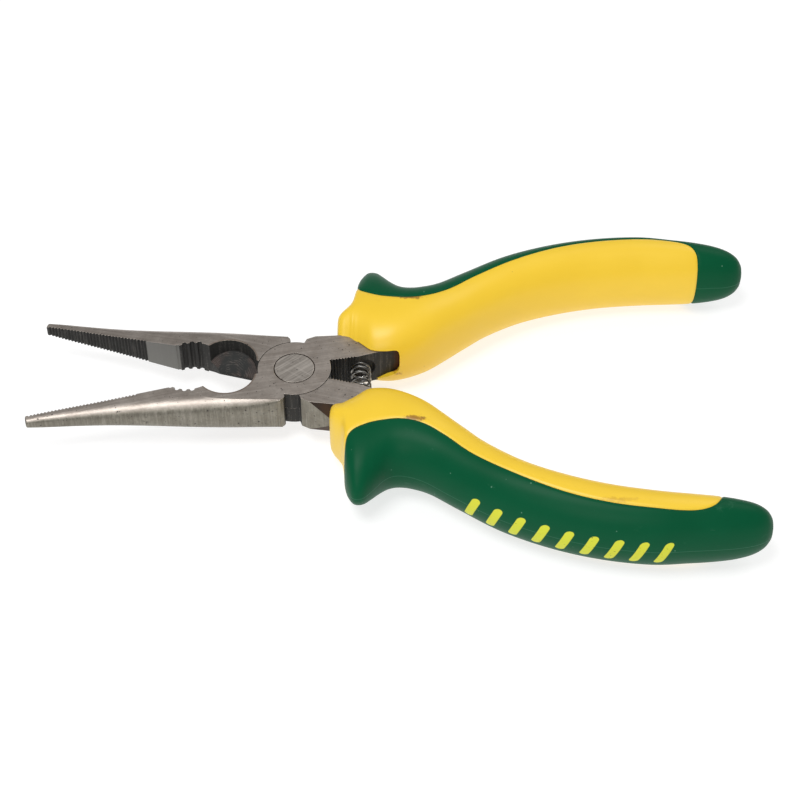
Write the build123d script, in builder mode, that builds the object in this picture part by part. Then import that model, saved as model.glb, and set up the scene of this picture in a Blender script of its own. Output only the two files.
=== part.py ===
from build123d import *
import math
import os

# Needle nose pliers with a side cutter, a lap joint, a return spring and two-shot grips.
# Units are millimetres.  The pivot axis is Z.  The jaws point to -X and the handles to +X.
# z = 0 is the flat underside of the joint.  +Z is up.  The pliers are modelled half open:
# each half is turned REST_TURN from the closed position, where both jaws meet on y = 0.

# joint
JOINT_THICKNESS = 9.0
MID = JOINT_THICKNESS / 2
DISC_RADIUS = 8.34
DISC_GAP = 0.15  # radial gap between a disc and the arc wall of the other half
LAP_GAP = 0.02  # each lap face stays this far from the mid-plane
REST_TURN = 13.4  # degrees
PARTING_GAP = 0.05  # each jaw face stays this far from the closed plane

# rivet
RIVET_HEAD_RADIUS = 4.7
RIVET_HEAD_HEIGHT = 2.0
RIVET_SHANK_RADIUS = 3.0
TIGHT_FIT = 0.03
RUNNING_FIT = 0.05

# nose: distance from pivot, width from the closed plane, half thickness, corner radius
NOSE_SECTIONS = [
    (61.4, 1.85, 1.2, 1.0),
    (50.0, 3.2, 2.2, 1.95),
    (36.0, 5.35, 3.35, 3.0),
    (22.5, 7.75, 4.45, 3.5),
    (10.0, 9.35, 4.75, 2.5),
    (3.6, 9.45, 4.75, 0.5),
]
TIP_ROUNDING = 0.4
SHOULDER_CORNER = [(-3.5, -8.2), (-3.9, -8.8), (-4.7, -9.3), (-5.8, -9.6), (-3.5, -9.8)]  # cut off in plan

# gripping teeth
TOOTH_PITCH = 0.8
TOOTH_DEPTH = 0.34
TEETH_START = 36.4  # distance from pivot
TOOTH_COUNT = 31

# pipe grip: a shallow arc with four round grooves
PIPE_X = 23.2
PIPE_RADIUS = 7.0
PIPE_DEPTH = 1.9
PIPE_GROOVE_RADIUS = 0.55
PIPE_GROOVE_COUNT = 4
PIPE_GROOVE_STEP = 14.5  # degrees
PIPE_GROOVE_FIRST = 223.5  # degrees, from +X about the arc's centre

# side cutter: a round pocket above the cutting edge and a flat bevel below it
CUTTER_X = 15.4
CUTTER_Y = 1.8
CUTTER_RADIUS = 6.6
CUTTER_EDGE_Z = 1.9
CUTTER_FLOOR_START_Z = 0.5  # where the floor's curve starts, on the far side of the closed plane
CUTTER_FLOOR_Z = 5.6
CUTTER_FLOOR_BOW = 0.5
CUTTER_BEVEL_WIDTH = 2.2
CUTTER_BEVEL_ENDS = (-22.0, -8.9)

# tangs
TANG_INNER = 0.72  # the crimped part of the inner face, from the closed plane
TANG_OUTLINE = [  # in the closed position: distance from pivot, distance from the closed plane
    (2.0, 5.0),
    (3.6, 7.7),
    (4.3, 8.7),
    (6.3, 9.15),
    (12.0, 10.0),
    (20.0, 11.2),
    (28.5, 13.6),
    (30.2, 8.4),
    (25.0, 2.0),
    (14.2, TANG_INNER),
    (6.0, TANG_INNER),
]
CRIMP_PITCH = 0.7
CRIMP_DEPTH = 0.36
CRIMP_COUNT = 9
CRIMP_MIDDLE = 11.3  # distance from pivot
TANG_BAR_WIDTH = 6.0
TANG_BAR_HEIGHT = 6.0
FORGED_BEVEL = [  # in the closed position: distance from pivot, from the closed plane, from the mid-plane
    (6.6, 9.15, MID),
    (12.0, 10.1, 0.6),
    (12.0, 8.4, MID),
]
FORGED_BEVEL_SIZE = 40.0
FORGED_BEVEL_CUT = 12.0

# return spring
SPRING_X = 15.2
SPRING_COIL_RADIUS = 2.1  # to the wire's centre
SPRING_WIRE_RADIUS = 0.28
SPRING_LENGTH = 10.2  # between the end turns' wire centres
SPRING_TURNS = 6.5
SEAT_DISTANCE = 16.0  # from pivot, along the closed plane
SEAT_RADIUS = 2.95
SEAT_DEPTH = 1.6

# grips: plan centre x and y, direction in degrees, half width, half height
GRIP_SECTIONS = [
    (9.0, 13.8, 0, 2.8, 6.2),
    (10.5, 14.4, 0, 4.4, 7.8),
    (12.8, 16.1, 0, 7.0, 8.6),
    (16.0, 17.0, 0, 11.3, 9.1),
    (21.5, 17.4, 6, 11.8, 9.7),
    (25.0, 17.8, 14, 11.0, 9.8),
    (30.0, 19.9, 28, 9.2, 9.7),
    (35.3, 23.1, 36, 7.8, 9.1),
    (41.2, 27.4, 35, 7.3, 8.9),
    (50.0, 32.7, 26, 7.2, 9.3),
    (60.0, 36.6, 17.5, 7.2, 9.5),
    (70.0, 39.1, 10, 7.1, 9.5),
    (80.0, 40.3, 3, 6.8, 9.5),
    (90.0, 40.2, 0, 5.9, 9.0),
    (98.0, 40.0, -1, 5.1, 7.9),
    (103.2, 39.8, -2, 3.6, 5.5),
    (105.2, 39.6, -2, 1.4, 2.1),
]
# finger guard, cut square to Y: y, plan centre x, half length, half height
GUARD_SECTIONS = [
    (21.5, 18.0, 5.7, 6.8),
    (29.0, 16.9, 4.8, 5.0),
    (33.2, 16.3, 2.6, 2.9),
    (34.9, 16.2, 1.2, 1.2),
]
WINDOW = [  # the sleeve's inner wall is open here in front of the tang: x, z
    (8.0, 0.0),
    (17.0, 0.0),
    (22.4, 1.9),
    (23.3, 2.5),
    (23.75, 3.6),
    (23.75, 8.0),
    (23.3, 8.9),
    (22.4, 9.15),
    (8.0, 9.15),
]
WINDOW_BACK = 9.0
WINDOW_DEPTH = 15.0
BAR_PATH = [
    (20.5, 12.0),
    (27.0, 16.6),
    (33.5, 21.4),
    (41.0, 27.0),
    (50.0, 32.4),
    (60.0, 36.4),
    (70.0, 39.0),
    (86.0, 40.3),
]
CORE_WIDTH = 9.6
CORE_HEIGHT = 10.4
COLOUR_LINE = [
    (3.0, 23.6),
    (14.6, 21.4),
    (20.0, 19.2),
    (25.0, 18.9),
    (30.0, 20.0),
    (35.0, 22.9),
    (41.0, 27.7),
    (50.0, 33.2),
    (60.0, 37.8),
    (70.0, 40.5),
    (80.0, 41.8),
    (87.0, 41.8),
    (91.5, 40.6),
    (93.8, 37.5),
    (94.4, 29.0),
]
COVER_END = 120.0
COVER_SIDE = 60.0


def closed_point(distance, side):
    """A point of the far half's plan, from the closed position to the modelled one."""
    turn = math.radians(REST_TURN)
    x = distance * math.cos(turn) - side * math.sin(turn)
    y = distance * math.sin(turn) + side * math.cos(turn)
    return (x, y)


def cutter_pocket():
    """The hollow above the cutting edge: a round steep wall and a floor that slopes to the edge."""
    with BuildPart() as pocket:
        with BuildSketch(Plane.XY):
            with Locations((-CUTTER_X, CUTTER_Y)):
                Circle(CUTTER_RADIUS)
        extrude(amount=JOINT_THICKNESS + 1)
        rim = CUTTER_RADIUS - CUTTER_Y
        with BuildSketch(Plane.YZ.offset(-CUTTER_X - 2 * CUTTER_RADIUS)):
            with BuildLine():
                start = (CUTTER_Y, CUTTER_FLOOR_START_Z)
                floor = SagittaArc(start, (-rim, CUTTER_FLOOR_Z), -CUTTER_FLOOR_BOW)
                Polyline(
                    floor @ 1,
                    (-rim - 1, CUTTER_FLOOR_Z),
                    (-rim - 1, JOINT_THICKNESS + 1),
                    (CUTTER_RADIUS + CUTTER_Y, JOINT_THICKNESS + 1),
                    (CUTTER_RADIUS + CUTTER_Y, CUTTER_FLOOR_START_Z),
                    start,
                )
            make_face()
        extrude(amount=4 * CUTTER_RADIUS, mode=Mode.INTERSECT)
    return pocket.part


def nose():
    """One jaw in the closed position, on the -Y side, with its teeth, pipe grip and cutter."""
    pocket = cutter_pocket()
    with BuildPart() as jaw:
        for distance, width, half_thickness, corner in NOSE_SECTIONS:
            with BuildSketch(Plane.YZ.offset(-distance)) as section:
                with Locations((-PARTING_GAP, MID)):
                    Rectangle(width, 2 * half_thickness, align=(Align.MAX, Align.CENTER))
                fillet(section.vertices().sort_by(Axis.X)[:2], radius=corner)
        loft()
        fillet(jaw.faces().sort_by(Axis.X)[0].edges().filter_by(Axis.Z, reverse=True), radius=TIP_ROUNDING)
        with BuildSketch(Plane.XZ):
            with Locations((-NOSE_SECTIONS[0][0] / 2, MID)):
                Rectangle(NOSE_SECTIONS[0][0] + 2, JOINT_THICKNESS)
        extrude(amount=NOSE_SECTIONS[0][0] / 2, both=True, mode=Mode.INTERSECT)
        with BuildSketch(Plane.XY.offset(-1)):
            with BuildLine():
                Polyline(*SHOULDER_CORNER, close=True)
            make_face()
        extrude(amount=JOINT_THICKNESS + 2, mode=Mode.SUBTRACT)
        with BuildSketch(Plane.XY.offset(-1)):
            with Locations((-TEETH_START - TOOTH_PITCH * (TOOTH_COUNT - 1) / 2, -PARTING_GAP)):
                with GridLocations(TOOTH_PITCH, 1, TOOTH_COUNT, 1):
                    Rectangle(TOOTH_DEPTH * math.sqrt(2), TOOTH_DEPTH * math.sqrt(2), rotation=45)
            with Locations((-PIPE_X, PIPE_RADIUS - PIPE_DEPTH)):
                Circle(PIPE_RADIUS)
                with PolarLocations(PIPE_RADIUS, PIPE_GROOVE_COUNT, start_angle=PIPE_GROOVE_FIRST,
                                    angular_range=PIPE_GROOVE_STEP * PIPE_GROOVE_COUNT):
                    Circle(PIPE_GROOVE_RADIUS)
        extrude(amount=JOINT_THICKNESS + 2, mode=Mode.SUBTRACT)
        add(pocket, mode=Mode.SUBTRACT)
        with BuildSketch(Plane.YZ.offset(CUTTER_BEVEL_ENDS[0])):
            with BuildLine():
                Polyline((1, -1), (1, CUTTER_EDGE_Z), (0, CUTTER_EDGE_Z), (-CUTTER_BEVEL_WIDTH, 0),
                         (-CUTTER_BEVEL_WIDTH, -1), close=True)
            make_face()
        extrude(amount=CUTTER_BEVEL_ENDS[1] - CUTTER_BEVEL_ENDS[0], mode=Mode.SUBTRACT)
    return jaw.part


def tang_blank():
    """The steel behind the joint on the +Y side: a full-thickness root and a bar inside the grip."""
    with BuildPart() as blank:
        with BuildSketch(Plane.XY):
            with BuildLine():
                Polyline(*[closed_point(*point) for point in TANG_OUTLINE], close=True)
            make_face()
        extrude(amount=JOINT_THICKNESS)
        with BuildSketch(Plane.XY.offset(MID - TANG_BAR_HEIGHT / 2)):
            with BuildLine() as path:
                Spline(BAR_PATH)
            trace(path.line, line_width=TANG_BAR_WIDTH)
        extrude(amount=TANG_BAR_HEIGHT)
    return blank.part


def tang(blank):
    """The tang with its crimping grooves and the drilled seat for the spring."""
    with BuildPart() as steel:
        add(blank)
        with BuildSketch(Plane.XY.offset(-1)):
            middle = closed_point(CRIMP_MIDDLE, TANG_INNER)
            with Locations(Location((*middle, 0), (0, 0, REST_TURN))):
                with GridLocations(CRIMP_PITCH, 1, CRIMP_COUNT, 1):
                    Rectangle(CRIMP_DEPTH * math.sqrt(2), CRIMP_DEPTH * math.sqrt(2), rotation=45)
        extrude(amount=JOINT_THICKNESS + 2, mode=Mode.SUBTRACT)
        seat_mouth = closed_point(SEAT_DISTANCE, TANG_INNER)
        inward = closed_point(0, 1)
        with BuildSketch(Plane(origin=(*seat_mouth, MID), z_dir=(*inward, 0))):
            Circle(SEAT_RADIUS)
        extrude(amount=SEAT_DEPTH, mode=Mode.SUBTRACT)
    return steel.part


def forged_bevels():
    """Two wedges that cut the unground bevels off the tang's outer edges, top and bottom."""
    with BuildPart() as wedges:
        for up in (1, -1):
            points = [Vector(*closed_point(x, y), MID + up * z) for x, y, z in FORGED_BEVEL]
            normal = (points[1] - points[0]).cross(points[2] - points[0])
            if normal.Z * up < 0:
                normal = normal * -1
            with BuildSketch(Plane(origin=points[0], x_dir=points[1] - points[0], z_dir=normal)):
                Rectangle(FORGED_BEVEL_SIZE, FORGED_BEVEL_SIZE)
            extrude(amount=FORGED_BEVEL_CUT)
    return wedges.part


def lap_half(steel, disc_bottom, other_bottom, head_bottom, fit):
    """A whole half with its jaw on -Y and its tang on +Y.  Its disc takes one layer of the joint.

    The other layer is cleared for the other half's disc."""
    layer = MID - LAP_GAP
    jaw = nose()
    with BuildPart() as half:
        add(jaw, rotation=(0, 0, REST_TURN))
        add(steel)
        with BuildSketch(Plane.XY.offset(other_bottom)):
            Circle(DISC_RADIUS + DISC_GAP)
        extrude(amount=MID + LAP_GAP, mode=Mode.SUBTRACT)
        with BuildSketch(Plane.XY.offset(disc_bottom)):
            Circle(DISC_RADIUS)
        extrude(amount=layer)
        with BuildSketch(Plane.XY.offset(-1)):
            Circle(RIVET_SHANK_RADIUS + fit)
        extrude(amount=JOINT_THICKNESS + 2, mode=Mode.SUBTRACT)
        with BuildSketch(Plane.XY.offset(head_bottom)):
            Circle(RIVET_HEAD_RADIUS + fit)
        extrude(amount=RIVET_HEAD_HEIGHT + 1, mode=Mode.SUBTRACT)
    return half.part


def grip_body():
    """The whole outer shape of the far grip, with its finger guard."""
    with BuildPart() as body:
        for x, y, direction, half_width, half_height in GRIP_SECTIONS:
            along = Vector(1, 0, 0).rotate(Axis.Z, direction)
            across = along.rotate(Axis.Z, 90)
            with BuildSketch(Plane(origin=(x, y, MID), x_dir=across, z_dir=along)):
                Ellipse(half_width, half_height)
        loft()
        for y, x, half_length, half_height in GUARD_SECTIONS:
            with BuildSketch(Plane.XZ.offset(-y)):
                with Locations((x, MID)):
                    Ellipse(half_length, half_height)
        loft()
    return body.part


def cover_space():
    """Everything on the outer side of the line where the two colours meet, and all of the tail.

    The sleeve's core, which runs under the cover around the steel bar, is left out of it."""
    with BuildPart() as space:
        with BuildSketch(Plane.XY.offset(MID - COVER_SIDE / 2)):
            with BuildLine():
                line = Spline(COLOUR_LINE)
                Polyline(
                    line @ 1,
                    (COLOUR_LINE[-1][0], 0),
                    (COVER_END, 0),
                    (COVER_END, COVER_SIDE),
                    (COLOUR_LINE[0][0], COVER_SIDE),
                    line @ 0,
                )
            make_face()
        extrude(amount=COVER_SIDE)
        with BuildSketch(Plane.XY.offset(MID - CORE_HEIGHT / 2)):
            with BuildLine() as path:
                Spline(BAR_PATH)
            trace(path.line, line_width=CORE_WIDTH)
        extrude(amount=CORE_HEIGHT, mode=Mode.SUBTRACT)
    return space.part


def hollow_grip(body, steel):
    """The grip's outer shape without the tang's socket and the window in front of the tang."""
    with BuildPart() as grip:
        add(body)
        add(steel, mode=Mode.SUBTRACT)
        with BuildSketch(Plane.XZ.offset(-WINDOW_BACK)):
            with BuildLine():
                Polyline(*WINDOW, close=True)
            make_face()
        extrude(amount=WINDOW_DEPTH, mode=Mode.SUBTRACT)
    return grip.part


os.makedirs("parts", exist_ok=True)

steel_blank = tang_blank()
steel_tang = tang(steel_blank)
far_grip = hollow_grip(grip_body(), steel_blank)
far_space = cover_space()

with BuildPart() as upper_lap_half:
    add(lap_half(steel_tang, MID + LAP_GAP, 0, JOINT_THICKNESS - RIVET_HEAD_HEIGHT, TIGHT_FIT))
    add(forged_bevels(), mode=Mode.SUBTRACT)

with BuildPart() as lower_lap_half:
    add(lap_half(steel_tang, 0, MID - LAP_GAP, -1, RUNNING_FIT))
    add(forged_bevels(), mode=Mode.SUBTRACT)
    mirror(about=Plane.XZ, mode=Mode.REPLACE)

with BuildPart() as pivot_rivet:
    with BuildSketch(Plane.XY):
        Circle(RIVET_HEAD_RADIUS)
    extrude(amount=RIVET_HEAD_HEIGHT - TIGHT_FIT)
    with BuildSketch(Plane.XY):
        Circle(RIVET_SHANK_RADIUS)
    extrude(amount=JOINT_THICKNESS)
    with BuildSketch(Plane.XY.offset(JOINT_THICKNESS)):
        Circle(RIVET_HEAD_RADIUS)
    extrude(amount=-(RIVET_HEAD_HEIGHT - TIGHT_FIT))

with BuildPart() as return_spring:
    with BuildLine() as coil:
        Helix(
            pitch=SPRING_LENGTH / SPRING_TURNS,
            height=SPRING_LENGTH,
            radius=SPRING_COIL_RADIUS,
            center=(SPRING_X, -SPRING_LENGTH / 2, MID),
            direction=(0, 1, 0),
        )
    with BuildSketch(Plane(origin=coil.line @ 0, z_dir=coil.line % 0)):
        Circle(SPRING_WIRE_RADIUS)
    sweep(path=coil.line, is_frenet=True)

# the hard inner moulding, with the socket for the tang and a core that runs under the cover
with BuildPart() as far_grip_sleeve:
    add(far_grip)
    add(far_space, mode=Mode.SUBTRACT)

# the soft outer moulding, which fits round the sleeve's core
with BuildPart() as far_grip_cover:
    add(far_grip)
    add(far_space, mode=Mode.INTERSECT)

with BuildPart() as near_grip_sleeve:
    mirror(far_grip_sleeve.part, about=Plane.XZ)

with BuildPart() as near_grip_cover:
    mirror(far_grip_cover.part, about=Plane.XZ)

upper_lap_half.part.label = "upper_lap_half"
lower_lap_half.part.label = "lower_lap_half"
pivot_rivet.part.label = "pivot_rivet"
return_spring.part.label = "return_spring"
far_grip_sleeve.part.label = "far_grip_sleeve"
far_grip_cover.part.label = "far_grip_cover"
near_grip_sleeve.part.label = "near_grip_sleeve"
near_grip_cover.part.label = "near_grip_cover"

export_step(upper_lap_half.part, "parts/upper_lap_half.step")
export_step(lower_lap_half.part, "parts/lower_lap_half.step")
export_step(pivot_rivet.part, "parts/pivot_rivet.step")
export_step(return_spring.part, "parts/return_spring.step")
export_step(far_grip_sleeve.part, "parts/far_grip_sleeve.step")
export_step(far_grip_cover.part, "parts/far_grip_cover.step")
export_step(near_grip_sleeve.part, "parts/near_grip_sleeve.step")
export_step(near_grip_cover.part, "parts/near_grip_cover.step")
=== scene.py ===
import math

import bpy
import numpy as np
from mathutils import Matrix, Vector


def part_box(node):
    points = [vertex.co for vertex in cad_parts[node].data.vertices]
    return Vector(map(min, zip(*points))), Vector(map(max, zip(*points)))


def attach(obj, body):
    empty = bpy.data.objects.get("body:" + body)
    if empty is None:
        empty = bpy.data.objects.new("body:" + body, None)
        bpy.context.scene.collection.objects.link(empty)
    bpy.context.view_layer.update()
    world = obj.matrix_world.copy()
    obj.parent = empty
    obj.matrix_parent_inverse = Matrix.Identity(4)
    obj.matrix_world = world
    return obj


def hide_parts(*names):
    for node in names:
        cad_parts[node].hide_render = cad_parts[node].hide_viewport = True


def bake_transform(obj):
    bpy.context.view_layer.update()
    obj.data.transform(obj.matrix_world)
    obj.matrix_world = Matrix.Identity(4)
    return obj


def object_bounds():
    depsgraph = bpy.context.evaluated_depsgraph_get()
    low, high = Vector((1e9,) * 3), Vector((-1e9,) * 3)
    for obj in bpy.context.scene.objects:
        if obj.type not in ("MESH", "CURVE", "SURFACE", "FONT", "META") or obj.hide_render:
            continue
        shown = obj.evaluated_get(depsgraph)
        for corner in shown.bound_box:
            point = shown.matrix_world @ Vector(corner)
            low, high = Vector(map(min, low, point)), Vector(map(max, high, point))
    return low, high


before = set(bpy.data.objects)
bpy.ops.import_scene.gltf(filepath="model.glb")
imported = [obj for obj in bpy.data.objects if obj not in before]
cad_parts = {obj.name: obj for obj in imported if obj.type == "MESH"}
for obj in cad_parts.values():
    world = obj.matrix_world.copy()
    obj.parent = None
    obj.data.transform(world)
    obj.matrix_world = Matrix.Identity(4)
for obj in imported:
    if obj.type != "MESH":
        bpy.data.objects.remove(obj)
cad_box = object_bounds()

MM = 0.001
JOINT_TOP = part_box("pivot_rivet")[1].z
MID = JOINT_TOP / 2
REST_TURN = math.radians(13.4)  # each half is turned this far from the closed position
LOWEST = cad_box[0][2]


# ---------------------------------------------------------------- shader building

class Nodes:
    """A material's node tree, with short calls for the nodes that the materials below share."""

    def __init__(self, name):
        self.material = bpy.data.materials.new(name)
        self.material.use_nodes = True
        self.tree = self.material.node_tree
        self.bsdf = self.tree.nodes["Principled BSDF"]

    def wire(self, source, socket):
        if isinstance(source, bpy.types.NodeSocket):
            self.tree.links.new(source, socket)
        else:
            socket.default_value = source

    def add(self, kind, inputs=None, **settings):
        node = self.tree.nodes.new(kind)
        for key, value in settings.items():
            setattr(node, key, value)
        for key, value in (inputs or {}).items():
            self.wire(value, node.inputs[key])
        return node

    def math(self, operation, *values, clamp=False):
        node = self.add("ShaderNodeMath", operation=operation, use_clamp=clamp)
        for i, value in enumerate(values):
            self.wire(value, node.inputs[i])
        return node.outputs[0]

    def both(self, *masks):
        result = masks[0]
        for mask in masks[1:]:
            result = self.math("MULTIPLY", result, mask)
        return result

    def either(self, *masks):
        result = masks[0]
        for mask in masks[1:]:
            result = self.math("MAXIMUM", result, mask)
        return result

    def invert(self, mask):
        return self.math("SUBTRACT", 1.0, mask)

    def weighted(self, a, b, share):
        """The sum of a by its share and b by what is left of 1."""
        return self.math("ADD", self.math("MULTIPLY", a, share), self.math("MULTIPLY", b, 1 - share))

    def length(self, a, b):
        """The length of the plane vector (a, b)."""
        squares = self.math("ADD", self.math("MULTIPLY", a, a), self.math("MULTIPLY", b, b))
        return self.math("SQRT", squares)

    def step(self, value, low, high):
        """0 below low and 1 above high, or the other way round when low is above high."""
        limits = {0: value, 1: low, 2: high}
        return self.add("ShaderNodeMapRange", limits, interpolation_type="SMOOTHSTEP").outputs[0]

    def between(self, value, low, high, soft):
        rise = self.step(value, low - soft, low + soft)
        fall = self.step(value, high + soft, high - soft)
        return self.both(rise, fall)

    def mix(self, factor, a, b):
        node = self.add("ShaderNodeMix", data_type="RGBA")
        self.wire(factor, node.inputs[0])
        self.wire(a if isinstance(a, bpy.types.NodeSocket) else (*a, 1.0), node.inputs[6])
        self.wire(b if isinstance(b, bpy.types.NodeSocket) else (*b, 1.0), node.inputs[7])
        return node.outputs[2]

    def blend(self, factor, a, b):
        node = self.add("ShaderNodeMix", data_type="FLOAT")
        for i, value in ((0, factor), (2, a), (3, b)):
            self.wire(value, node.inputs[i])
        return node.outputs[0]

    def place(self):
        return self.add("ShaderNodeTexCoord").outputs["Object"]

    def face(self):
        return self.add("ShaderNodeTexCoord").outputs["Normal"]

    def turned(self, vector, mirror, kind):
        """The vector as it would be with the half closed, its jaw on the -Y side."""
        node = self.add("ShaderNodeMapping", {"Vector": vector}, vector_type=kind)
        node.inputs["Rotation"].default_value = (0, 0, -REST_TURN)
        node.inputs["Scale"].default_value = (1, -1 if mirror else 1, 1)
        return node.outputs[0]

    def stretched(self, vector, scale, turn=0.0):
        """The vector turned about Z by an angle in degrees and then scaled along its new axes."""
        node = self.add("ShaderNodeMapping", {"Vector": vector}, vector_type="TEXTURE")
        node.inputs["Rotation"].default_value = (0, 0, math.radians(turn))
        node.inputs["Scale"].default_value = [1 / s for s in scale]
        return node.outputs[0]

    def noise(self, vector, scale, detail=3.0, roughness=0.5):
        inputs = {"Vector": vector, "Scale": scale, "Detail": detail, "Roughness": roughness}
        return self.add("ShaderNodeTexNoise", inputs).outputs[0]

    def specks(self, vector, scale, size):
        """Small round spots, a few of the cells of a Voronoi pattern."""
        node = self.add("ShaderNodeTexVoronoi", {"Vector": vector, "Scale": scale})
        chosen = self.math("GREATER_THAN", self.split(node.outputs["Color"])[0], 0.5)
        return self.both(self.step(node.outputs["Distance"], size, size * 0.5), chosen)

    def split(self, vector):
        return self.add("ShaderNodeSeparateXYZ", {0: vector}).outputs

    def in_mm(self, vector):
        """The three parts of a vector in metres, in millimetres."""
        node = self.add("ShaderNodeVectorMath", {0: vector}, operation="SCALE")
        node.inputs["Scale"].default_value = 1 / MM
        return self.split(node.outputs[0])

    def bump(self, height, distance, normal, strength):
        inputs = {"Height": height, "Distance": distance, "Strength": strength}
        if normal is not None:
            inputs["Normal"] = normal
        return self.add("ShaderNodeBump", inputs).outputs[0]

    def surface(self, **sockets):
        for key, value in sockets.items():
            self.wire(value, self.bsdf.inputs[key.replace("_", " ")])
        return self.material


# ---------------------------------------------------------------- steel

GROUND = (0.385, 0.335, 0.295)
GROUND_LIGHT = (0.56, 0.505, 0.455)
GROUND_MOTTLE = (0.25, 0.225, 0.20)
FLANK = (0.195, 0.178, 0.145)
FLANK_LIGHT = (0.32, 0.30, 0.255)
FLANK_MOTTLE = (0.13, 0.125, 0.10)
OXIDE = (0.022, 0.021, 0.019)
OXIDE_WORN = (0.085, 0.08, 0.072)
PATCH_GREY = (0.20, 0.195, 0.18)
POCKET_FLOOR = (0.012, 0.013, 0.012)
POCKET_FLOOR_RED = (0.042, 0.026, 0.021)
MILLED_ARC = (0.11, 0.10, 0.09)
COPPER_RIM = (0.20, 0.115, 0.065)
RUST = (0.11, 0.035, 0.012)
FORGED_BROWN = (0.045, 0.022, 0.010)
FORGED_DARK = (0.02, 0.012, 0.008)
STEEL_PIT = (0.03, 0.025, 0.022)
RIVET_DARK = (0.40, 0.36, 0.32)
RIVET_LIGHT = (0.62, 0.57, 0.515)
RIVET_SCRATCH = (0.74, 0.69, 0.63)
RIVET_PIT = (0.05, 0.04, 0.035)
RIVET_RING_DARK = (0.04, 0.028, 0.02)
WIRE_DARK = (0.18, 0.175, 0.165)
WIRE_RUBBED = (0.52, 0.51, 0.48)

# how tightly the noise of the brushed lines is packed along each axis, per metre; turns in degrees
LINES_ALONG_X = (60, 2600, 60)
LINES_UPRIGHT = (2600, 1500, 90)
RIVET_LINES = (130, 2400, 60)
RIVET_LINES_TURN = 42
RIVET_SCRATCHES = (110, 2200, 60)
RIVET_SCRATCHES_TURN = -35

# the steel's areas in mm, with the half in its closed position: a mask is 0 at the first value of
# a pair and 1 at the second, but POCKET_RIM and JAW_PATCH_X are plain ranges
POCKET_X = -15.4
POCKET_Y = 1.8
POCKET_WALL = (6.8, 6.66)
POCKET_TOP = (8.95, 8.85)
POCKET_BOTTOM = (0.2, 0.4)
POCKET_RIM = (6.62, 6.92)
POCKET_RIM_Z = (8.0, 8.9)
DISC_WALL = (8.95, 8.7)
JAW_INNER_X = (-7.0, -8.0)
JAW_INNER_Y = (-3.2, -2.9)
JAW_PATCH_X = (-36.3, -28.0)
TANG_INNER_X = (5.0, 6.0)
TANG_INNER_Y = (3.6, 3.2)
FRONT_SHOULDER_START = (-9, -7)
FRONT_SHOULDER_END = (1, 0)
BACK_SHOULDER_START = (1, 2)
BACK_SHOULDER_END = (8, 7)
FORGED_X = (5.8, 6.2)
FORGED_Y = (5.5, 6.5)
RUST_X = (24.2, 26.2)
RIVET_RING = (4.56, 4.70)

# depth of the relief in metres
LINE_RELIEF = 0.00003
WAVE_RELIEF = 0.00005
ARC_RELIEF = 0.00006
RIVET_RELIEF = 0.00004
WIRE_RELIEF = 0.00001
WORN_EDGE = 0.00018


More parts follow.
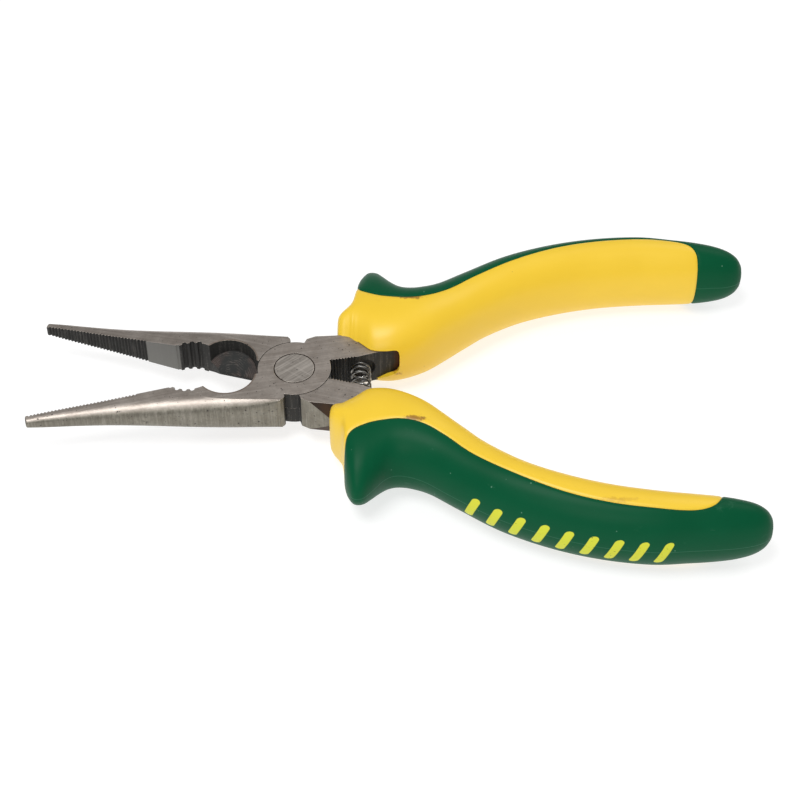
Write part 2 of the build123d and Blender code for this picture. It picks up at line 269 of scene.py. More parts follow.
def steel_material(name, mirror):
    """Ground faces, brushed flanks and black oxide in every recess of one half."""
    n = Nodes(name)
    place = n.turned(n.place(), mirror, "POINT")
    x, y, z = n.in_mm(place)
    nx, ny, nz = n.split(n.turned(n.face(), mirror, "VECTOR"))
    flat = n.step(n.math("ABSOLUTE", nz), 0.55, 0.85)
    upright = n.invert(flat)

    # grinding lines: along X on the flat faces, up and down on the flanks
    lines_x = n.noise(n.stretched(place, LINES_ALONG_X), 1.0, 4.0, 0.65)
    lines_z = n.noise(n.stretched(place, LINES_UPRIGHT), 1.0, 3.0, 0.6)
    clouds = n.noise(place, 260, 4.0, 0.6)
    fine = n.noise(place, 2600, 2.0, 0.5)
    mottle = n.step(n.noise(place, 1500, 5.0, 0.75), 0.30, 0.72)
    ground = n.mix(n.step(n.weighted(lines_x, clouds, 0.55), 0.36, 0.66), GROUND, GROUND_LIGHT)
    ground = n.mix(n.both(mottle, 0.35), ground, GROUND_MOTTLE)
    flank = n.mix(n.step(n.weighted(lines_z, clouds, 0.6), 0.36, 0.66), FLANK, FLANK_LIGHT)
    flank = n.mix(n.both(mottle, 0.4), flank, FLANK_MOTTLE)
    colour = n.mix(upright, ground, flank)

    # where the black oxide has been left
    pocket_r = n.length(n.math("SUBTRACT", x, POCKET_X), n.math("SUBTRACT", y, POCKET_Y))
    pocket = n.both(n.step(pocket_r, *POCKET_WALL), n.step(z, *POCKET_TOP), n.step(z, *POCKET_BOTTOM))
    arc_walls = n.both(n.step(n.length(x, y), *DISC_WALL), upright)
    inner_jaw = n.both(n.step(x, *JAW_INNER_X), n.step(y, *JAW_INNER_Y), n.step(ny, -0.5, -0.2), upright)
    inner_tang = n.both(n.step(x, *TANG_INNER_X), n.step(y, *TANG_INNER_Y), n.step(ny, 0.3, 0.1), upright)
    shoulder_front = n.both(n.step(nx, 0.7, 0.9), n.step(x, *FRONT_SHOULDER_START),
                            n.step(x, *FRONT_SHOULDER_END), upright)
    shoulder_back = n.both(n.step(nx, -0.55, -0.8), n.step(x, *BACK_SHOULDER_START),
                           n.step(x, *BACK_SHOULDER_END), upright)
    black = n.either(pocket, arc_walls, inner_jaw, inner_tang, shoulder_front, shoulder_back)
    patch = n.both(inner_jaw, n.between(x, *JAW_PATCH_X, 0.25))
    wear = n.step(n.weighted(lines_z, fine, 0.7), 0.50, 0.68)
    oxide = n.mix(wear, OXIDE, OXIDE_WORN)
    oxide = n.mix(n.both(patch, 0.85), oxide, PATCH_GREY)

    # the pocket's floor shows broken arcs from the mill and a red tint
    wobble = n.math("MULTIPLY", n.noise(place, 700, 3.0, 0.6), 1.1)
    arcs = n.math("SINE", n.math("MULTIPLY", n.math("ADD", pocket_r, wobble), 15.0))
    arcs = n.both(n.step(arcs, -0.7, 1.0), n.step(n.noise(place, 520, 3.0, 0.6), 0.40, 0.62))
    floor = n.both(pocket, n.step(nz, 0.15, 0.35))
    floor_tint = n.mix(n.step(clouds, 0.40, 0.62), POCKET_FLOOR, POCKET_FLOOR_RED)
    floor_tint = n.mix(n.both(arcs, 0.5), floor_tint, MILLED_ARC)
    oxide = n.mix(floor, oxide, floor_tint)
    colour = n.mix(black, colour, oxide)

    # unground forging skin on the tang's bevels, and rust by the plastic
    slanted = n.between(n.math("ABSOLUTE", nz), 0.12, 0.93, 0.03)
    bevel = n.both(slanted, n.step(x, *FORGED_X), n.step(y, *FORGED_Y))
    colour = n.mix(bevel, colour, n.mix(n.step(clouds, 0.35, 0.7), FORGED_BROWN, FORGED_DARK))
    rust_spread = n.math("ADD", x, n.math("MULTIPLY", clouds, 3.0))
    rust = n.both(inner_tang, n.step(rust_spread, *RUST_X))
    colour = n.mix(n.both(rust, 0.8), colour, RUST)

    # a thin coppery line at the pocket's rim and small dark pits in the ground faces
    rim = n.both(n.between(pocket_r, *POCKET_RIM, 0.08), flat, n.step(z, *POCKET_RIM_Z))
    colour = n.mix(n.both(rim, 0.45), colour, COPPER_RIM)
    pits = n.both(n.either(n.specks(place, 640, 0.17), n.specks(place, 1250, 0.19)), n.invert(black))
    colour = n.mix(n.both(pits, 0.85), colour, STEEL_PIT)

    bare = n.math("MULTIPLY", n.invert(n.either(black, bevel)), n.invert(pits))
    grain = n.blend(upright, lines_x, lines_z)
    rough = n.blend(bare, 0.62, n.blend(grain, 0.40, 0.56))
    rounded = n.add("ShaderNodeBevel", {"Radius": WORN_EDGE}, samples=6).outputs[0]
    normal = n.bump(grain, LINE_RELIEF, rounded, 0.55)
    normal = n.bump(n.math("SUBTRACT", clouds, n.both(pits, 1.5)), WAVE_RELIEF, normal, 0.35)
    normal = n.bump(n.both(floor, arcs), ARC_RELIEF, normal, 0.5)
    return n.surface(Base_Color=colour, Metallic=n.blend(bare, 0.35, 1.0), Roughness=rough, Normal=normal,
                     Anisotropic=0.35)


def rivet_material():
    """A rivet head ground flush: fine lines one way, a few scratches across them, a dark ring."""
    n = Nodes("rivet_ground")
    place = n.place()
    x, y, _ = n.in_mm(place)
    lines = n.noise(n.stretched(place, RIVET_LINES, RIVET_LINES_TURN), 1.0, 4.0, 0.65)
    clouds = n.noise(place, 420, 4.0, 0.6)
    colour = n.mix(n.step(lines, 0.35, 0.68), RIVET_DARK, RIVET_LIGHT)
    scratches = n.noise(n.stretched(place, RIVET_SCRATCHES, RIVET_SCRATCHES_TURN), 1.0, 2.0)
    colour = n.mix(n.both(n.step(scratches, 0.58, 0.68), 0.3), colour, RIVET_SCRATCH)
    pits = n.specks(place, 900, 0.17)
    colour = n.mix(n.both(pits, 0.8), colour, RIVET_PIT)
    edge = n.math("ADD", n.length(x, y), n.math("MULTIPLY", clouds, 0.3))
    ring = n.step(edge, *RIVET_RING)
    colour = n.mix(ring, colour, RIVET_RING_DARK)
    normal = n.bump(n.math("SUBTRACT", lines, n.math("MULTIPLY", ring, 2.5)), RIVET_RELIEF, None, 0.6)
    return n.surface(Base_Color=colour, Metallic=1.0, Roughness=n.blend(lines, 0.34, 0.5), Normal=normal,
                     Anisotropic=0.3)


def spring_material():
    """Dark drawn wire with a bright sheen where it has rubbed."""
    n = Nodes("spring_wire")
    place = n.place()
    wear = n.step(n.noise(place, 700, 3.0, 0.6), 0.45, 0.7)
    colour = n.mix(wear, WIRE_DARK, WIRE_RUBBED)
    normal = n.bump(n.noise(place, 5000, 2.0), WIRE_RELIEF, None, 0.4)
    return n.surface(Base_Color=colour, Metallic=1.0, Roughness=n.blend(wear, 0.32, 0.2), Normal=normal)


# ---------------------------------------------------------------- grips

# far grip, in mm: plan centre x and y, direction in degrees, width to the inner side, width to the
# outer side, half height, and how square each side is (2 is an ellipse)
GRIP_STATIONS = [
    (9.0, 14.7, 0, 3.0, 1.2, 4.9, 1.5, 2.4),
    (9.25, 14.7, 0, 5.3, 2.0, 6.3, 1.5, 2.3),
    (10.0, 14.9, 0, 6.2, 3.2, 7.3, 1.5, 2.3),
    (11.0, 15.3, 0, 6.7, 4.3, 7.9, 1.5, 2.2),
    (11.9, 15.8, 0, 7.2, 5.6, 8.3, 1.6, 2.1),
    (12.4, 16.1, 0, 7.7, 7.8, 8.5, 1.7, 2.0),
    (12.75, 16.4, 0, 8.2, 10.8, 8.6, 1.75, 2.0),
    (13.15, 16.7, 0, 8.9, 13.4, 8.7, 1.8, 2.0),
    (13.9, 17.0, 0, 9.6, 15.6, 8.8, 1.9, 2.0),
    (15.3, 17.4, 0, 11.0, 17.2, 9.0, 2.1, 2.0),
    (17.2, 17.5, 0, 12.3, 17.0, 9.2, 2.35, 2.0),
    (19.4, 17.4, 2, 12.3, 15.4, 9.4, 2.5, 2.0),
    (21.8, 17.4, 6, 11.7, 13.4, 9.6, 2.6, 2.0),
    (24.6, 17.7, 13, 10.7, 11.4, 9.75, 2.5, 2.0),
    (27.6, 18.7, 22, 9.5, 9.8, 9.75, 2.5, 2.0),
    (31.0, 20.4, 30, 8.3, 8.6, 9.5, 2.4, 2.0),
    (35.3, 23.1, 36, 7.5, 7.7, 9.0, 2.3, 2.0),
    (41.2, 27.3, 35, 7.0, 7.4, 8.8, 2.2, 2.0),
    (50.0, 32.6, 26, 6.9, 7.3, 9.2, 2.1, 2.0),
    (60.0, 36.5, 17.5, 6.8, 7.3, 9.4, 2.1, 2.0),
    (70.0, 39.0, 10, 6.8, 7.2, 9.4, 2.1, 2.0),
    (80.0, 40.2, 3, 6.5, 6.8, 9.4, 2.1, 2.0),
    (88.0, 40.2, 0, 5.9, 6.1, 9.0, 2.1, 2.0),
    (93.0, 40.1, -1, 5.5, 5.7, 8.6, 2.1, 2.0),
    (97.4, 40.0, -1, 5.0, 5.2, 7.9, 2.1, 2.0),
    (101.0, 39.8, -1, 4.4, 4.5, 6.8, 2.0, 2.0),
    (103.4, 39.7, -1, 3.4, 3.4, 5.2, 2.0, 2.0),
    (104.7, 39.6, -1, 2.1, 2.1, 3.2, 2.0, 2.0),
    (105.1, 39.6, -1, 0.9, 0.9, 1.4, 2.0, 2.0),
]
# where the yellow and the green meet on the far grip, in plan
COLOUR_LINE = [
    (12.4, 44.0), (12.5, 36.0), (12.6, 30.0), (12.7, 26.2), (13.1, 23.8), (14.4, 22.0), (17.0, 20.6),
    (20.0, 19.7), (25.0, 19.2), (30.0, 20.3), (35.0, 23.3), (41.0, 28.2), (50.0, 33.7), (60.0, 38.3),
    (70.0, 41.0), (80.0, 42.2), (87.0, 42.2), (91.2, 41.0), (93.2, 38.6), (93.9, 35.5), (94.2, 30.0),
    (94.3, 20.0),
]
LINE_POINTS_PER_ROW = 16
RINGS_PER_STATION = 12
RING_POINTS = 168
END_CROWN = 0.12  # the middle of each end stands out by this much, in mm
BEYOND_LINE = 9.0  # the middles of the ends count as this far from the colour line, in mm
OUTWARD_RING = 40  # a ring near the front, used to tell outward from inward
GROOVE_DEPTH = 0.22
GROOVE_WIDTH = 0.26
SHELL = 1.1
SLEEVE_SHARP_ANGLE = 50  # degrees
# the sleeve's opening in front of the tang, in mm: x and height from the mid-plane
WINDOW_OUTLINE = [
    (14.0, -4.5), (17.0, -4.5), (22.4, -2.6), (23.2, -2.1), (23.6, -1.2), (23.75, 0.0), (23.75, 3.0),
    (23.55, 4.0), (23.1, 4.5), (22.4, 4.65), (14.0, 4.65),
]
WINDOW_FRONT = -6.0
WINDOW_BACK = 9.0
POINTS_AT_A_TIME = 2000


def smooth_rows(rows, per_row):
    """A smooth Catmull-Rom curve through the rows of a table."""
    rows = np.array(rows, float)
    ends = np.vstack([2 * rows[0] - rows[1], rows, 2 * rows[-1] - rows[-2]])
    steps = np.linspace(0, 1, per_row, endpoint=False)[:, None]
    parts = []
    for i in range(1, len(ends) - 2):
        a, b, c, d = ends[i - 1], ends[i], ends[i + 1], ends[i + 2]
        inner = 2 * a - 5 * b + 4 * c - d + steps * (3 * (b - c) + d - a)
        parts.append(b + 0.5 * steps * (c - a + steps * inner))
    return np.vstack(parts + [rows[-1:]])


def signed_distance(points, line):
    """Distance in plan from the colour line: positive on the green side."""
    start, end = line[:-1], line[1:]
    along = end - start
    length = (along ** 2).sum(1)
    result = np.empty(len(points))
    for i in range(0, len(points), POINTS_AT_A_TIME):
        offset = points[i:i + POINTS_AT_A_TIME, None, :] - start[None]
        t = np.clip((offset * along).sum(2) / length, 0, 1)
        gap = offset - t[..., None] * along
        d2 = (gap ** 2).sum(2)
        near = d2.argmin(1)
        rows = np.arange(len(near))
        side = along[near, 0] * gap[rows, near, 1] - along[near, 1] * gap[rows, near, 0]
        result[i:i + POINTS_AT_A_TIME] = np.sqrt(d2[rows, near]) * np.sign(side)
    return result


def grip_surface():
    """The far grip's outer surface as rings, and how far along the grip each ring is."""
    rings = smooth_rows(GRIP_STATIONS, RINGS_PER_STATION)
    angle = np.linspace(0, 2 * math.pi, RING_POINTS, endpoint=False)
    c, s = np.cos(angle)[None], np.sin(angle)[None]
    cx, cy, direction, inner, outer, height, square_in, square_out = (rings[:, i:i + 1] for i in range(8))
    outward = c > 0
    width = np.where(outward, outer, inner)
    power = 2 / np.where(outward, square_out, square_in)
    u = width * np.sign(c) * np.abs(c) ** power
    v = height * np.sign(s) * np.abs(s) ** (2 / np.where(outward, (square_out + 2) / 2, square_in))
    turn = np.radians(direction)
    x = cx - u * np.sin(turn)
    y = cy + u * np.cos(turn)
    points = np.stack([x, y, v], 2)
    run = np.concatenate([[0], np.cumsum(np.hypot(np.diff(rings[:, 0]), np.diff(rings[:, 1])))])
    return points, run


def grip_faces(rings, columns):
    """Quads between neighbouring rings."""
    quads = []
    for i in range(rings - 1):
        for j in range(columns):
            k = (j + 1) % columns
            quads.append((i * columns + j, (i + 1) * columns + j, (i + 1) * columns + k, i * columns + k))
    return quads


def snapped_to_line(points, distance, quads):
    """Moves the nearest points on to the colour line, so that it runs along mesh edges."""
    edges = set()
    for q in quads:
        for a, b in zip(q, q[1:] + q[:1]):
            edges.add((min(a, b), max(a, b)))
    edges = np.array(sorted(edges))
    da, db = distance[edges[:, 0]], distance[edges[:, 1]]
    crossing = da * db < 0
    edges, da, db = edges[crossing], da[crossing], db[crossing]
    t = da / (da - db)
    order = np.argsort(np.minimum(t, 1 - t))
    moved = set()
    points, distance = points.copy(), distance.copy()
    rest = points.copy()
    for i in order:
        a, b = edges[i]
        if a in moved or b in moved:
            continue
        mover = a if t[i] < 0.5 else b
        points[mover] = rest[a] + (rest[b] - rest[a]) * t[i]
        distance[mover] = 0.0
        moved.add(mover)
    return points, distance


def split_faces(quads, distance, sign):
    """The faces on one side of the colour line, cut along their diagonal where it crosses them."""
    chosen = []
    for q in quads:
        d = [distance[i] for i in q]
        if all(sign * v >= 0 for v in d):
            if any(v != 0 for v in d):
                chosen.append(q)
            continue
        if all(sign * v <= 0 for v in d):
            continue
        for first in (0, 1):
            opposite = first + 2
            halves = [(q[first], q[first + 1], q[opposite]), (q[first], q[opposite], q[(first + 3) % 4])]
            if abs(d[first]) + abs(d[opposite]) == 0:
                chosen += [h for h in halves if sum(sign * distance[i] for i in h) > 0]
                break
        else:
            if sum(sign * v for v in d) > 0:
                chosen.append(q)
    return chosen


def make_grip_piece(name, points, faces, run, mirror, body, nodes, material):
    """One moulding of one grip: a smooth closed shell."""
    used = sorted({i for f in faces for i in f})
    index = {old: new for new, old in enumerate(used)}
    co = points[used] * MM
    co[:, 2] += MID
    if mirror:
        co[:, 1] *= -1
    outward_faces = [tuple(index[i] for i in f) for f in faces]
    if not mirror:
        outward_faces = [f[::-1] for f in outward_faces]
    mesh = bpy.data.meshes.new(name)
    mesh.from_pydata(co.tolist(), [], outward_faces)
    mesh.update()
    attribute = mesh.attributes.new("run", "FLOAT", "POINT")
    attribute.data.foreach_set("value", run[used].astype(np.float32))
    mesh.polygons.foreach_set("use_smooth", [True] * len(mesh.polygons))
    obj = bpy.data.objects.new(name, mesh)
    bpy.context.scene.collection.objects.link(obj)
    shell = obj.modifiers.new("shell", "SOLIDIFY")
    shell.thickness = SHELL * MM
    shell.offset = -1
    obj.data.materials.append(material)
    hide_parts(*nodes)
    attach(obj, body)
    return obj


def window_prism(mirror):
    """The space that the sleeve's inner wall leaves open in front of the tang."""
    side = -1 if mirror else 1
    count = len(WINDOW_OUTLINE)
    ends = (WINDOW_FRONT, WINDOW_BACK)
    verts = [(x * MM, side * y * MM, MID + z * MM) for y in ends for x, z in WINDOW_OUTLINE]
    faces = [tuple(range(count)), tuple(range(2 * count - 1, count - 1, -1))]
    for i in range(count):
        k = (i + 1) % count
        faces.append((k, i, count + i, count + k))
    if mirror:
        faces = [f[::-1] for f in faces]
    mesh = bpy.data.meshes.new("window_prism")
    mesh.from_pydata(verts, [], faces)
    prism = bpy.data.objects.new("window_prism", mesh)
    bpy.context.scene.collection.objects.link(prism)
    return prism


def open_window(sleeve, mirror):
    """Cuts the window, leaving the sleeve as one plain mesh."""
    prism = window_prism(mirror)
    cut = sleeve.modifiers.new("window", "BOOLEAN")
    cut.operation = "DIFFERENCE"
    cut.solver = "EXACT"
    cut.object = prism
    graph = bpy.context.evaluated_depsgraph_get()
    mesh = bpy.data.meshes.new_from_object(sleeve.evaluated_get(graph))
    sleeve.modifiers.clear()
    sleeve.data = mesh
    mesh.set_sharp_from_angle(angle=math.radians(SLEEVE_SHARP_ANGLE))
    bpy.data.objects.remove(prism)


def build_grips(yellow, green, green_marked):
    """Both grips from one surface, cut in two along the colour line.  The near grip is mirrored."""
    grid, ring_run = grip_surface()
    rings, columns = grid.shape[:2]
    points = grid.reshape(-1, 3)
    line = smooth_rows(COLOUR_LINE, LINE_POINTS_PER_ROW)
    quads = grip_faces(rings, columns)
    distance = signed_distance(points[:, :2], line)
    points, distance = snapped_to_line(points, distance, quads)
    run = np.repeat(ring_run, columns)

    # ends: one point in the middle of the first and of the last ring
    front = points[:columns].mean(0) - (END_CROWN, 0, 0)
    tail = points[-columns:].mean(0) + (END_CROWN, 0, 0)
    points = np.vstack([points, front, tail])
    distance = np.concatenate([distance, [-BEYOND_LINE, BEYOND_LINE]])
    run = np.concatenate([run, [run[0], run[-1]]])
    first, last = len(points) - 2, len(points) - 1
    start = (rings - 1) * columns
    caps_front = [(first, j, (j + 1) % columns) for j in range(columns)]
    caps_tail = [(last, start + (j + 1) % columns, start + j) for j in range(columns)]

    # the fine groove where the two mouldings meet
    normals = np.zeros_like(points)
    for a, b, c, d in quads:
        normals[[a, b, c, d]] += np.cross(points[c] - points[a], points[d] - points[b])
    normals /= np.maximum(np.linalg.norm(normals, axis=1), 1e-9)[:, None]
    probe = columns * OUTWARD_RING
    centre = points[probe:probe + columns].mean(0)
    outward = normals * np.sign((normals[probe] * (points[probe] - centre)).sum())
    points = points - outward * (GROOVE_DEPTH * np.exp(-(distance / GROOVE_WIDTH) ** 2))[:, None]

    sleeve_faces = split_faces(quads, distance, -1) + caps_front
    cover_faces = split_faces(quads, distance, 1) + caps_tail
    for side, body, mirror in (("far", "upper_half", False), ("near", "lower_half", True)):
        sleeve = make_grip_piece(side + "_sleeve", points, sleeve_faces, run, mirror, body,
                                 [side + "_grip_sleeve"], yellow)
        open_window(sleeve, mirror)
        make_grip_piece(side + "_cover", points, cover_faces, run, mirror, body, [side + "_grip_cover"],
                        green_marked if mirror else green)


YELLOW_DEEP = (0.870, 0.568, 0.026)
YELLOW = (0.925, 0.620, 0.036)
YELLOW_SPECK = (0.25, 0.12, 0.03)
STAIN_BROWN = (0.22, 0.07, 0.012)
STAIN_PALE = (0.42, 0.20, 0.03)
STAIN_RUST = (0.25, 0.06, 0.01)
STAINS = [  # centre and half size in mm, height from the mid-plane; noise scale, strength, colour
    ((26.0, 19.0, 9.4), (3.4, 0.9, 3.0), 1100, 0.8, STAIN_BROWN),
    ((28.0, -19.2, 9.4), (3.4, 0.9, 3.0), 1100, 0.8, STAIN_BROWN),
    ((72.0, -40.4, 8.4), (7.0, 0.8, 2.0), 500, 0.4, STAIN_PALE),
    ((23.4, 7.0, -2.6), (1.5, 1.6, 0.9), 900, 0.85, STAIN_RUST),
]
GREEN_DEEP = (0.0005, 0.069, 0.026)
GREEN = (0.0010, 0.088, 0.035)
GREEN_SCUFF = (0.12, 0.30, 0.20)
GREEN_DUST = (0.16, 0.34, 0.24)
GREEN_SEAM = (0.05, 0.20, 0.12)
GREEN_GLOSS = 0.09
SCUFF_STRETCH = (160, 160, 500)
SEAM_HEIGHT = (0.16, 0.05)  # mm from the mid-plane
MARK_GREENISH = (0.60, 0.70, 0.055)
MARK_YELLOW = (0.72, 0.66, 0.05)

# the near cover's plain slanted bars, in mm along the grip and up from the mid-plane
MARK_START = 37.5
MARK_PITCH = 4.9
MARK_COUNT = 9
MARK_SLANT = 0.32
MARK_MIDDLE = -0.7
MARK_HALF_LENGTH = 2.6
MARK_EDGE = (0.98, 0.84)
MARK_SIDE_Y = (-20, -24)

# depth of the relief in metres
YELLOW_GRAIN_RELIEF = 0.00002
YELLOW_WAVE_RELIEF = 0.0002
GREEN_SEAM_RELIEF = 0.00006
GREEN_GRAIN_RELIEF = 0.00003
GREEN_WAVE_RELIEF = 0.0003


def smudge(n, place, centre, size, scale):
    """A soft stain, broken up by noise."""
    offset = n.add("ShaderNodeVectorMath", {0: place, 1: centre}, operation="SUBTRACT").outputs[0]
    shrink = {0: offset, 1: tuple(1 / s for s in size)}
    scaled = n.add("ShaderNodeVectorMath", shrink, operation="MULTIPLY").outputs[0]
    reach = n.add("ShaderNodeVectorMath", {0: scaled}, operation="LENGTH").outputs["Value"]
    noise = n.math("SUBTRACT", n.noise(place, scale, 5.0, 0.7), 0.5)
    return n.step(n.math("ADD", reach, n.math("MULTIPLY", noise, 2.2)), 1.0, 0.3)


def yellow_material():
    """Satin moulded plastic with brown stains by the colour line, rust by the window and a few specks."""
    n = Nodes("yellow_plastic")
    place = n.place()
    clouds = n.noise(place, 90, 3.0, 0.5)
    colour = n.mix(clouds, YELLOW_DEEP, YELLOW)
    for (x, y, z), size, scale, strength, stain_colour in STAINS:
        stain = smudge(n, place, (x * MM, y * MM, MID + z * MM), [s * MM for s in size], scale)
        colour = n.mix(n.both(stain, strength), colour, stain_colour)
    specks = n.specks(place, 260, 0.055)
    colour = n.mix(n.both(specks, 0.5), colour, YELLOW_SPECK)
    grain = n.noise(place, 2200, 3.0, 0.5)
    normal = n.bump(grain, YELLOW_GRAIN_RELIEF, None, 0.25)
    normal = n.bump(clouds, YELLOW_WAVE_RELIEF, normal, 0.12)
    return n.surface(Base_Color=colour, Roughness=n.blend(clouds, 0.36, 0.44), Normal=normal)


def bar_mask(n, y, up):
    """The row of slanted bars with round ends."""
    run = n.add("ShaderNodeAttribute", attribute_name="run").outputs["Fac"]
    shifted = n.math("ADD", run, n.math("MULTIPLY", up, -MARK_SLANT))
    cell = n.math("DIVIDE", n.math("SUBTRACT", shifted, MARK_START), MARK_PITCH)
    offset = n.math("MULTIPLY", n.math("SUBTRACT", n.math("FRACT", cell), 0.5), MARK_PITCH)
    height = n.math("ABSOLUTE", n.math("SUBTRACT", up, MARK_MIDDLE))
    end = n.math("MAXIMUM", n.math("SUBTRACT", height, MARK_HALF_LENGTH), 0.0)
    bar = n.step(n.length(offset, end), *MARK_EDGE)
    started = n.math("GREATER_THAN", cell, 0.0)
    not_ended = n.math("LESS_THAN", cell, float(MARK_COUNT))
    return n.both(bar, n.both(started, not_ended, n.step(y, *MARK_SIDE_Y)))


def green_material(name, marked):
    """Satin rubber with a fine grain, scuffs, dust and a mould line; marked adds the slanted bars."""
    n = Nodes(name)
    place = n.place()
    _, y, z = n.in_mm(place)
    up = n.math("SUBTRACT", z, MID / MM)
    clouds = n.noise(place, 75, 4.0, 0.55)
    colour = n.mix(clouds, GREEN_DEEP, GREEN)
    scuff = n.step(n.noise(n.stretched(place, SCUFF_STRETCH), 1.0, 6.0, 0.75), 0.63, 0.74)
    colour = n.mix(n.both(scuff, 0.16), colour, GREEN_SCUFF)
    dust = n.specks(place, 330, 0.07)
    colour = n.mix(n.both(dust, 0.55), colour, GREEN_DUST)
    seam = n.step(n.math("ABSOLUTE", up), *SEAM_HEIGHT)
    colour = n.mix(n.both(seam, 0.30), colour, GREEN_SEAM)
    rough = n.blend(clouds, 0.36, 0.46)
    if marked:
        worn = n.step(n.noise(place, 1500, 4.0, 0.7), 0.72, 0.62)
        paint = n.both(bar_mask(n, y, up), worn)
        colour = n.mix(paint, colour, n.mix(clouds, MARK_GREENISH, MARK_YELLOW))
        rough = n.blend(paint, rough, 0.36)
    grain = n.noise(place, 2600, 3.0, 0.55)
    normal = n.bump(seam, GREEN_SEAM_RELIEF, None, 0.5)
    normal = n.bump(grain, GREEN_GRAIN_RELIEF, normal, 0.3)
    normal = n.bump(clouds, GREEN_WAVE_RELIEF, normal, 0.12)
    return n.surface(Base_Color=colour, Roughness=rough, Normal=normal, Specular_IOR_Level=GREEN_GLOSS)


# ---------------------------------------------------------------- spring

SPRING_TURNS = 6.6
SPRING_POINTS_PER_TURN = 40
SPRING_CLOSE_ENDS = 0.045  # eases the pitch, which is 28 % less at the two ends
SPRING_LEAN = 0.45  # mm towards the pivot at the +Y end, and away from it at the other
WIRE_RADIUS = 0.28  # mm
WIRE_SIDES = 12


def spring_centreline(low, high):
    """A compression coil along Y, closer wound at its two ends."""
    wire = WIRE_RADIUS * MM
    radius = (high.x - low.x) / 2 - wire
    middle = (low + high) / 2
    half = (high.y - low.y) / 2 - wire
    count = int(SPRING_TURNS * SPRING_POINTS_PER_TURN)
    points = []
    for i in range(count + 1):
        t = i / count
        angle = 2 * math.pi * SPRING_TURNS * t
        eased = t - SPRING_CLOSE_ENDS * math.sin(2 * math.pi * t)
        lean = -SPRING_LEAN * MM * (2 * eased - 1)
        x = middle.x + lean + radius * math.cos(angle)
        y = middle.y - half + 2 * half * eased
        z = middle.z + radius * math.sin(angle)
        points.append(Vector((x, y, z)))
    return points, wire


def build_spring(material):
    """The coil as one closed tube with flat ends, in the place of the CAD spring between the two halves.
    """
    low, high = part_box("return_spring")
    points, wire = spring_centreline(low, high)
    middle = (low + high) / 2
    verts, faces = [], []
    for i, p in enumerate(points):
        ahead = points[min(i + 1, len(points) - 1)] - points[max(i - 1, 0)]
        along = ahead.normalized()
        out = Vector((p.x - middle.x, 0, p.z - middle.z)).normalized()
        out = (out - along * out.dot(along)).normalized()
        side = along.cross(out)
        for k in range(WIRE_SIDES):
            a = 2 * math.pi * k / WIRE_SIDES
            verts.append(p + wire * (math.cos(a) * out + math.sin(a) * side))
    for i in range(len(points) - 1):
        for k in range(WIRE_SIDES):
            m = (k + 1) % WIRE_SIDES
            base = i * WIRE_SIDES
            faces.append((base + k, base + m, base + WIRE_SIDES + m, base + WIRE_SIDES + k))
    faces.append(tuple(range(WIRE_SIDES))[::-1])
    faces.append(tuple((len(points) - 1) * WIRE_SIDES + k for k in range(WIRE_SIDES)))
    mesh = bpy.data.meshes.new("spring_coil")
    mesh.from_pydata([v[:] for v in verts], [], faces)
    mesh.polygons.foreach_set("use_smooth", [True] * len(mesh.polygons))
    obj = bpy.data.objects.new("spring_coil", mesh)
    bpy.context.scene.collection.objects.link(obj)
    obj.data.materials.append(material)
    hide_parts("return_spring")
    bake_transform(obj)


# ---------------------------------------------------------------- camera, stage and light

CAMERA_YAW = 2.21  # degrees
CAMERA_ELEVATION = 46.63
CAMERA_ROLL = 0.01
CAMERA_PLACE = (24.05, -4.19, 431.6)  # mm from the joint's middle: right, up and back, as the camera sees
CAMERA_LENS = 84.72
CAMERA_SENSOR = 36.0
CAMERA_CLIP_START = 0.01
FLOOR_HALF = 6.0
FLOOR_GAP = 0.0002
FLOOR_TONES = ((0.38, 0.38, 0.38), (0.40, 0.40, 0.40))
FLOOR_GLOW = 0.7
WHITE = (1.0, 1.0, 1.0, 1.0)
WORLD_STRENGTH = 0.37
LIGHTS = [  # name, place, aim, diameter in metres, watts
    ("key", (-0.16, -0.22, 0.75), (0.02, 0, 0), 0.36, 3.3),
    ("front", (-0.10, -0.72, 0.50), (0.0, 0, 0), 0.40, 1.4),
    ("fill", (0.5, 0.5, 0.7), (0.02, 0, 0), 0.6, 1.7),
]


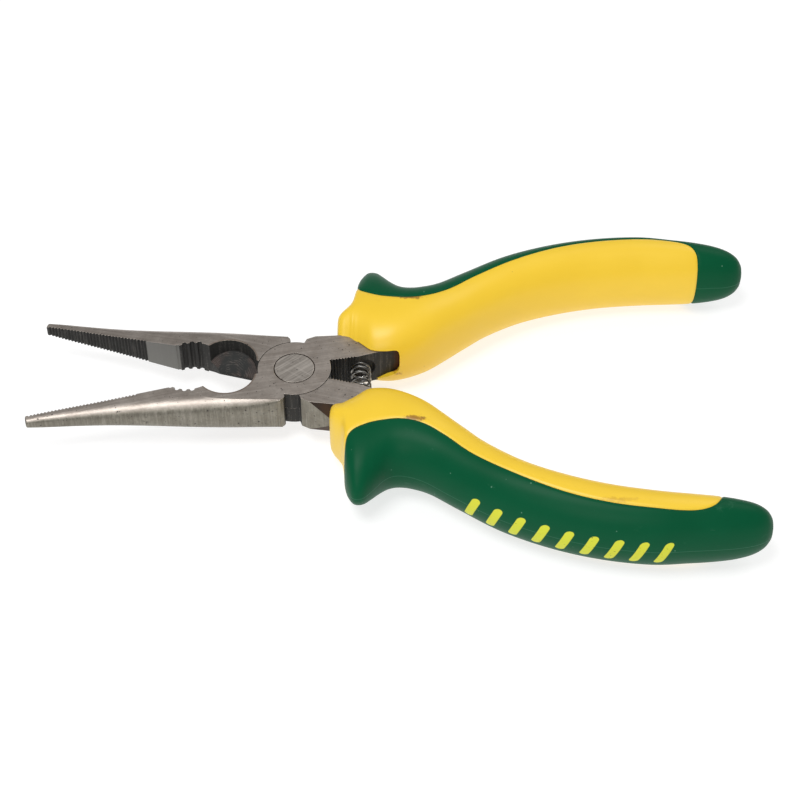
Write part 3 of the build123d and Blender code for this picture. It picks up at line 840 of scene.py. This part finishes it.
def build_camera():
    """Looks down at the pliers from the near side, about 47 degrees above the table."""
    yaw, elevation, roll = (math.radians(a) for a in (CAMERA_YAW, CAMERA_ELEVATION, CAMERA_ROLL))
    level = math.cos(elevation)
    back = Vector((math.sin(yaw) * level, -math.cos(yaw) * level, math.sin(elevation)))
    right = Vector((math.cos(yaw), math.sin(yaw), 0))
    up = back.cross(right)
    rolled_right = math.cos(roll) * right + math.sin(roll) * up
    rolled_up = -math.sin(roll) * right + math.cos(roll) * up
    from_right, from_up, from_back = CAMERA_PLACE
    offset = from_right * rolled_right + from_up * rolled_up + from_back * back
    data = bpy.data.cameras.new("camera")
    data.lens = CAMERA_LENS
    data.sensor_width = CAMERA_SENSOR
    data.clip_start = CAMERA_CLIP_START
    camera = bpy.data.objects.new("camera", data)
    axes = Matrix((rolled_right, rolled_up, back)).transposed()
    camera.matrix_world = Matrix.Translation(offset * MM + Vector((0, 0, MID))) @ axes.to_4x4()
    bpy.context.scene.collection.objects.link(camera)
    bpy.context.scene.camera = camera


def build_stage():
    """A pale floor just below the lowest point, bright enough to read as white."""
    half = FLOOR_HALF
    mesh = bpy.data.meshes.new("floor")
    corners = [(-half, -half), (half, -half), (half, half), (-half, half)]
    mesh.from_pydata([(x, y, LOWEST - FLOOR_GAP) for x, y in corners], [], [(0, 1, 2, 3)])
    floor = bpy.data.objects.new("floor", mesh)
    bpy.context.scene.collection.objects.link(floor)
    n = Nodes("pale_floor")
    tone = n.noise(n.place(), 6.0, 2.0)
    n.surface(Base_Color=n.mix(tone, *FLOOR_TONES), Roughness=0.9, Emission_Color=WHITE,
              Emission_Strength=FLOOR_GLOW)
    floor.data.materials.append(n.material)


def area_light(name, place, aim, size, watts):
    data = bpy.data.lights.new(name, "AREA")
    data.shape = "DISK"
    data.size = size
    data.energy = watts
    light = bpy.data.objects.new(name, data)
    light.location = place
    light.rotation_euler = (Vector(aim) - Vector(place)).to_track_quat("-Z", "Y").to_euler()
    bpy.context.scene.collection.objects.link(light)


def build_lights():
    world = bpy.data.worlds.new("studio")
    world.use_nodes = True
    background = world.node_tree.nodes["Background"]
    background.inputs["Color"].default_value = WHITE
    background.inputs["Strength"].default_value = WORLD_STRENGTH
    bpy.context.scene.world = world
    for light in LIGHTS:
        area_light(*light)
    bpy.context.scene.view_settings.view_transform = "Standard"


def coat(node, material):
    """Gives one CAD object its only material."""
    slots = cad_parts[node].data.materials
    slots.clear()
    slots.append(material)


build_camera()
build_stage()
build_lights()

coat("upper_lap_half", steel_material("steel_upper", False))
coat("lower_lap_half", steel_material("steel_lower", True))
coat("pivot_rivet", rivet_material())

build_grips(yellow_material(), green_material("green_rubber", False),
            green_material("green_rubber_marked", True))
build_spring(spring_material())
